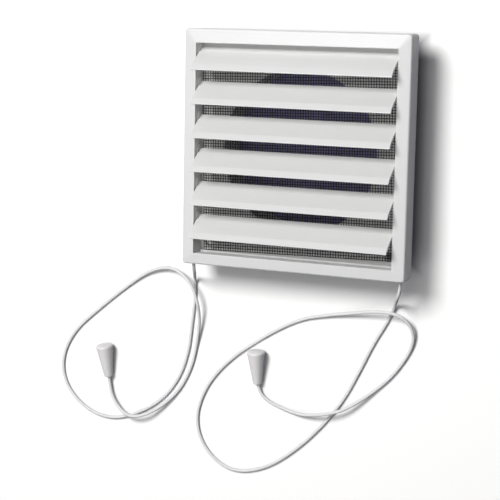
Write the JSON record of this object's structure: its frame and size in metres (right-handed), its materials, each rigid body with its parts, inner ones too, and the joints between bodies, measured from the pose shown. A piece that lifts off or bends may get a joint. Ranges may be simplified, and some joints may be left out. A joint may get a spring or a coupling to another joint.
{
  "type": "ventilation grille",
  "caption": "Square ventilation grille with tilting louvres, an insect mesh, a round duct spigot behind it and pull cords that open and close the louvres.",
  "frame": {"origin": "middle of the square grille in plan, at the level of the spigot's rim that it lies on", "axes": "+Z out of the front face, +Y to the grille's top edge, +X to its right edge; the cords leave the bottom edge"},
  "size_m": [0.2415, 0.2749, 0.0417],
  "materials": {
    "white_plastic": "smooth moulded white plastic with a soft sheen",
    "screen": "dark woven plastic insect screen",
    "cord": "braided white cord",
    "pull_plastic": "glossy white plastic"
  },
  "bodies": {
    "casing": {"front_frame": "white_plastic", "base_plate": "white_plastic", "insect_mesh": "screen", "bearing_rail_left": "white_plastic", "bearing_rail_right": "white_plastic", "cord_left": "cord", "cord_right": "cord", "pull_left": "pull_plastic", "pull_right": "pull_plastic"},
    "louvre_1": {"louvre_1": "white_plastic"},
    "louvre_2": {"louvre_2": "white_plastic"},
    "louvre_3": {"louvre_3": "white_plastic"},
    "louvre_4": {"louvre_4": "white_plastic"},
    "louvre_5": {"louvre_5": "white_plastic"},
    "louvre_6": {"louvre_6": "white_plastic"},
    "link_bar_left": {"link_bar_left": "white_plastic", "cord_lead_left": "cord"},
    "link_bar_right": {"link_bar_right": "white_plastic", "cord_lead_right": "cord"}
  },
  "joints": [
    {"name": "louvre_1_tilt", "type": "hinge", "parent": "casing", "child": "louvre_1", "pos_m": [0, 0.0577, 0.02685], "axis": [1, 0, 0], "range_deg": [-27, 47]},
    {"name": "louvre_2_tilt", "type": "hinge", "parent": "casing", "child": "louvre_2", "pos_m": [0, 0.03785, 0.02685], "axis": [1, 0, 0], "range_deg": [-27, 47]},
    {"name": "louvre_3_tilt", "type": "hinge", "parent": "casing", "child": "louvre_3", "pos_m": [0, 0.018, 0.02685], "axis": [1, 0, 0], "range_deg": [-27, 47]},
    {"name": "louvre_4_tilt", "type": "hinge", "parent": "casing", "child": "louvre_4", "pos_m": [0, -0.00185, 0.02685], "axis": [1, 0, 0], "range_deg": [-27, 47]},
    {"name": "louvre_5_tilt", "type": "hinge", "parent": "casing", "child": "louvre_5", "pos_m": [0, -0.0217, 0.02685], "axis": [1, 0, 0], "range_deg": [-27, 47]},
    {"name": "louvre_6_tilt", "type": "hinge", "parent": "casing", "child": "louvre_6", "pos_m": [0, -0.04155, 0.02685], "axis": [1, 0, 0], "range_deg": [-27, 47]},
    {"name": "link_bar_left_crank", "type": "hinge", "parent": "louvre_1", "child": "link_bar_left", "pos_m": [-0.065, 0.05726, 0.02434], "axis": [1, 0, 0], "range_deg": [-47, 27]},
    {"name": "link_bar_right_crank", "type": "hinge", "parent": "louvre_1", "child": "link_bar_right", "pos_m": [0.065, 0.05814, 0.02936], "axis": [1, 0, 0], "range_deg": [-47, 27]}
  ],
  "couplings": [
    {"joint": "louvre_2_tilt", "follows": "louvre_1_tilt", "ratio": 1},
    {"joint": "louvre_3_tilt", "follows": "louvre_1_tilt", "ratio": 1},
    {"joint": "louvre_4_tilt", "follows": "louvre_1_tilt", "ratio": 1},
    {"joint": "louvre_5_tilt", "follows": "louvre_1_tilt", "ratio": 1},
    {"joint": "louvre_6_tilt", "follows": "louvre_1_tilt", "ratio": 1},
    {"joint": "link_bar_left_crank", "follows": "louvre_1_tilt", "ratio": -1},
    {"joint": "link_bar_right_crank", "follows": "louvre_1_tilt", "ratio": -1}
  ]
}
